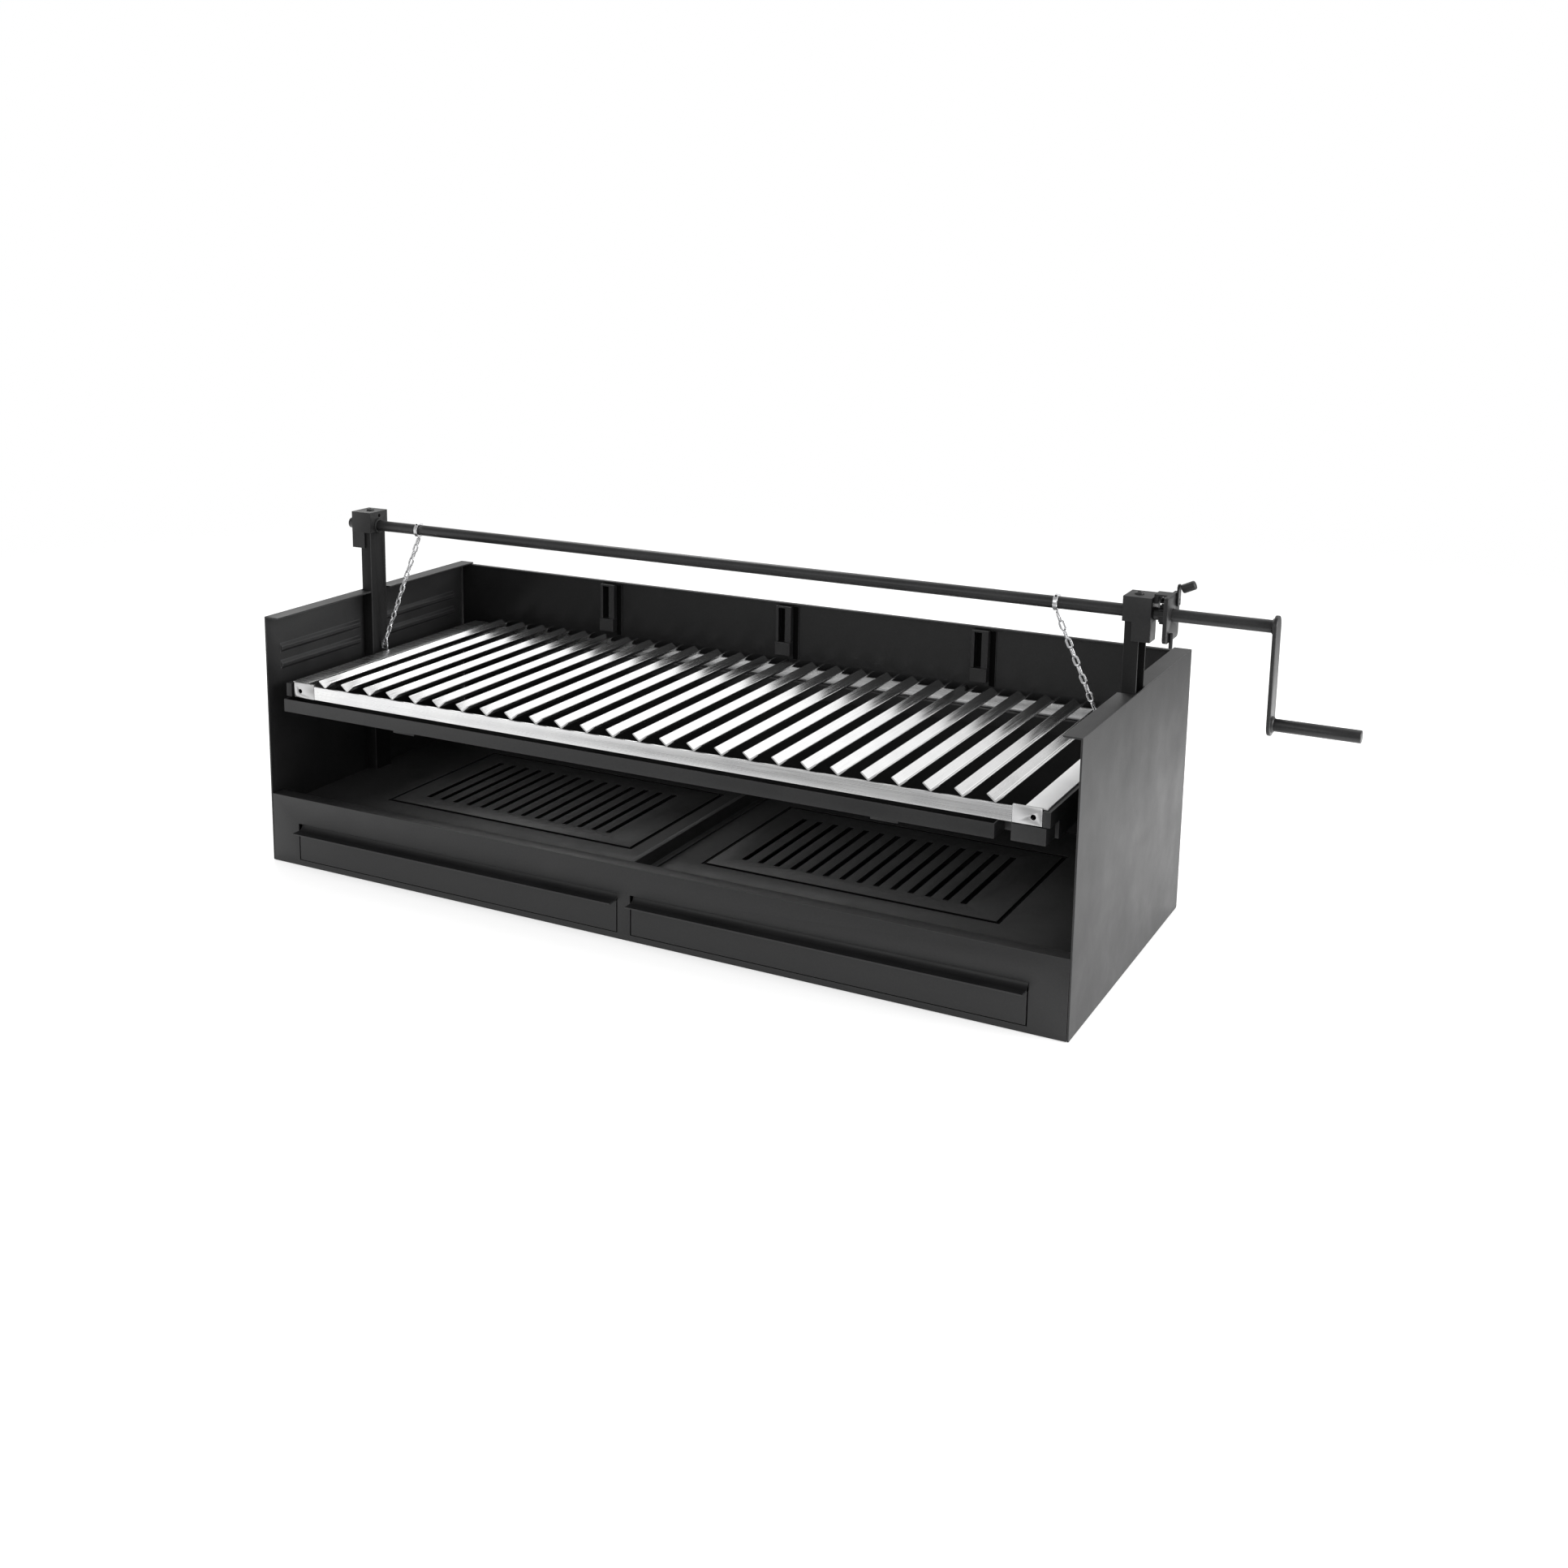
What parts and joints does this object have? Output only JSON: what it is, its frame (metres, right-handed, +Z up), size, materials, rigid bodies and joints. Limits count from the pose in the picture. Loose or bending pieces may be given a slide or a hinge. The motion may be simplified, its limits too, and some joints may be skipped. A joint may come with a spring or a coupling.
{
  "type": "crank-adjusted barbecue",
  "caption": "Built-in charcoal barbecue in sheet steel: V-bar grill raised on chains by a side crank with a ratchet, ash drawers, hearth grates and a grease tray.",
  "frame": {"origin": "middle of the underside of the housing", "axes": "+X to the crank side, +Y to the back wall, +Z up"},
  "size_m": [1.2398, 0.414, 0.4222],
  "materials": {
    "grey_steel": "satin",
    "black_steel": "satin",
    "shaft_steel": "satin",
    "stainless": "brushed",
    "zinc": "bright"
  },
  "bodies": {
    "housing": {"left_wall": "grey_steel", "right_wall": "grey_steel", "back_wall": "grey_steel", "front_panel": "grey_steel", "base_plate": "black_steel", "divider": "black_steel", "hearth_support_left": "black_steel", "hearth_support_right": "black_steel", "hearth_pan": "grey_steel", "hearth_plate": "grey_steel", "grate_left": "black_steel", "grate_right": "black_steel", "runner_left_outer": "black_steel", "runner_left_inner": "black_steel", "runner_right_inner": "black_steel", "runner_right_outer": "black_steel", "hanger_left": "grey_steel", "hanger_middle": "grey_steel", "hanger_right": "grey_steel", "post_left": "grey_steel", "post_right": "grey_steel", "head_left": "grey_steel", "head_right": "grey_steel", "bush_left": "black_steel", "bush_right": "black_steel", "ratchet_bracket": "grey_steel", "chain_left": "zinc", "chain_right": "zinc"},
    "left_drawer": {"drawer_left_tray": "black_steel", "drawer_left_front": "grey_steel"},
    "right_drawer": {"drawer_right_tray": "black_steel", "drawer_right_front": "grey_steel"},
    "winch": {"shaft": "shaft_steel", "crank_arm": "shaft_steel", "crank_grip": "shaft_steel", "ratchet_wheel": "black_steel", "collar_left": "zinc", "collar_right": "zinc"},
    "pawl_lever": {"pawl": "black_steel", "pawl_pin": "shaft_steel", "pawl_lever": "black_steel", "pawl_knob": "black_steel"},
    "lift": {"lifting_frame": "black_steel", "chain_eye_left": "zinc", "chain_eye_right": "zinc", "front_rail": "stainless", "rear_rail": "stainless", "side_rail_left": "stainless", "side_rail_right": "stainless", "end_plate_left": "stainless", "end_plate_right": "stainless", "grill_bars": "stainless"},
    "grease_tray": {"grease_tray": "black_steel"}
  },
  "joints": [
    {"name": "grill_lift", "type": "slide", "parent": "housing", "child": "lift", "axis": [0, 0, 1], "range_m": [-0.07, 0.09], "deforming": ["chain_left", "chain_right"]},
    {"name": "crank_turn", "type": "hinge", "parent": "housing", "child": "winch", "pos_m": [0, -0.003, 0.387], "axis": [1, 0, 0], "range_deg": [-446, 574]},
    {"name": "pawl_swing", "type": "hinge", "parent": "housing", "child": "pawl_lever", "pos_m": [0, 0.0095, 0.3995], "axis": [-1, 0, 0], "range_deg": [0, 25]},
    {"name": "left_drawer_slide", "type": "slide", "parent": "housing", "child": "left_drawer", "axis": [0, -1, 0], "range_m": [0, 0.3]},
    {"name": "right_drawer_slide", "type": "slide", "parent": "housing", "child": "right_drawer", "axis": [0, -1, 0], "range_m": [0, 0.3]},
    {"name": "grease_tray_slide", "type": "slide", "parent": "lift", "child": "grease_tray", "axis": [0, -1, 0], "range_m": [0, 0.028]}
  ],
  "couplings": [
    {"joint": "crank_turn", "follows": "grill_lift", "rad_per_m": 111.1}
  ]
}
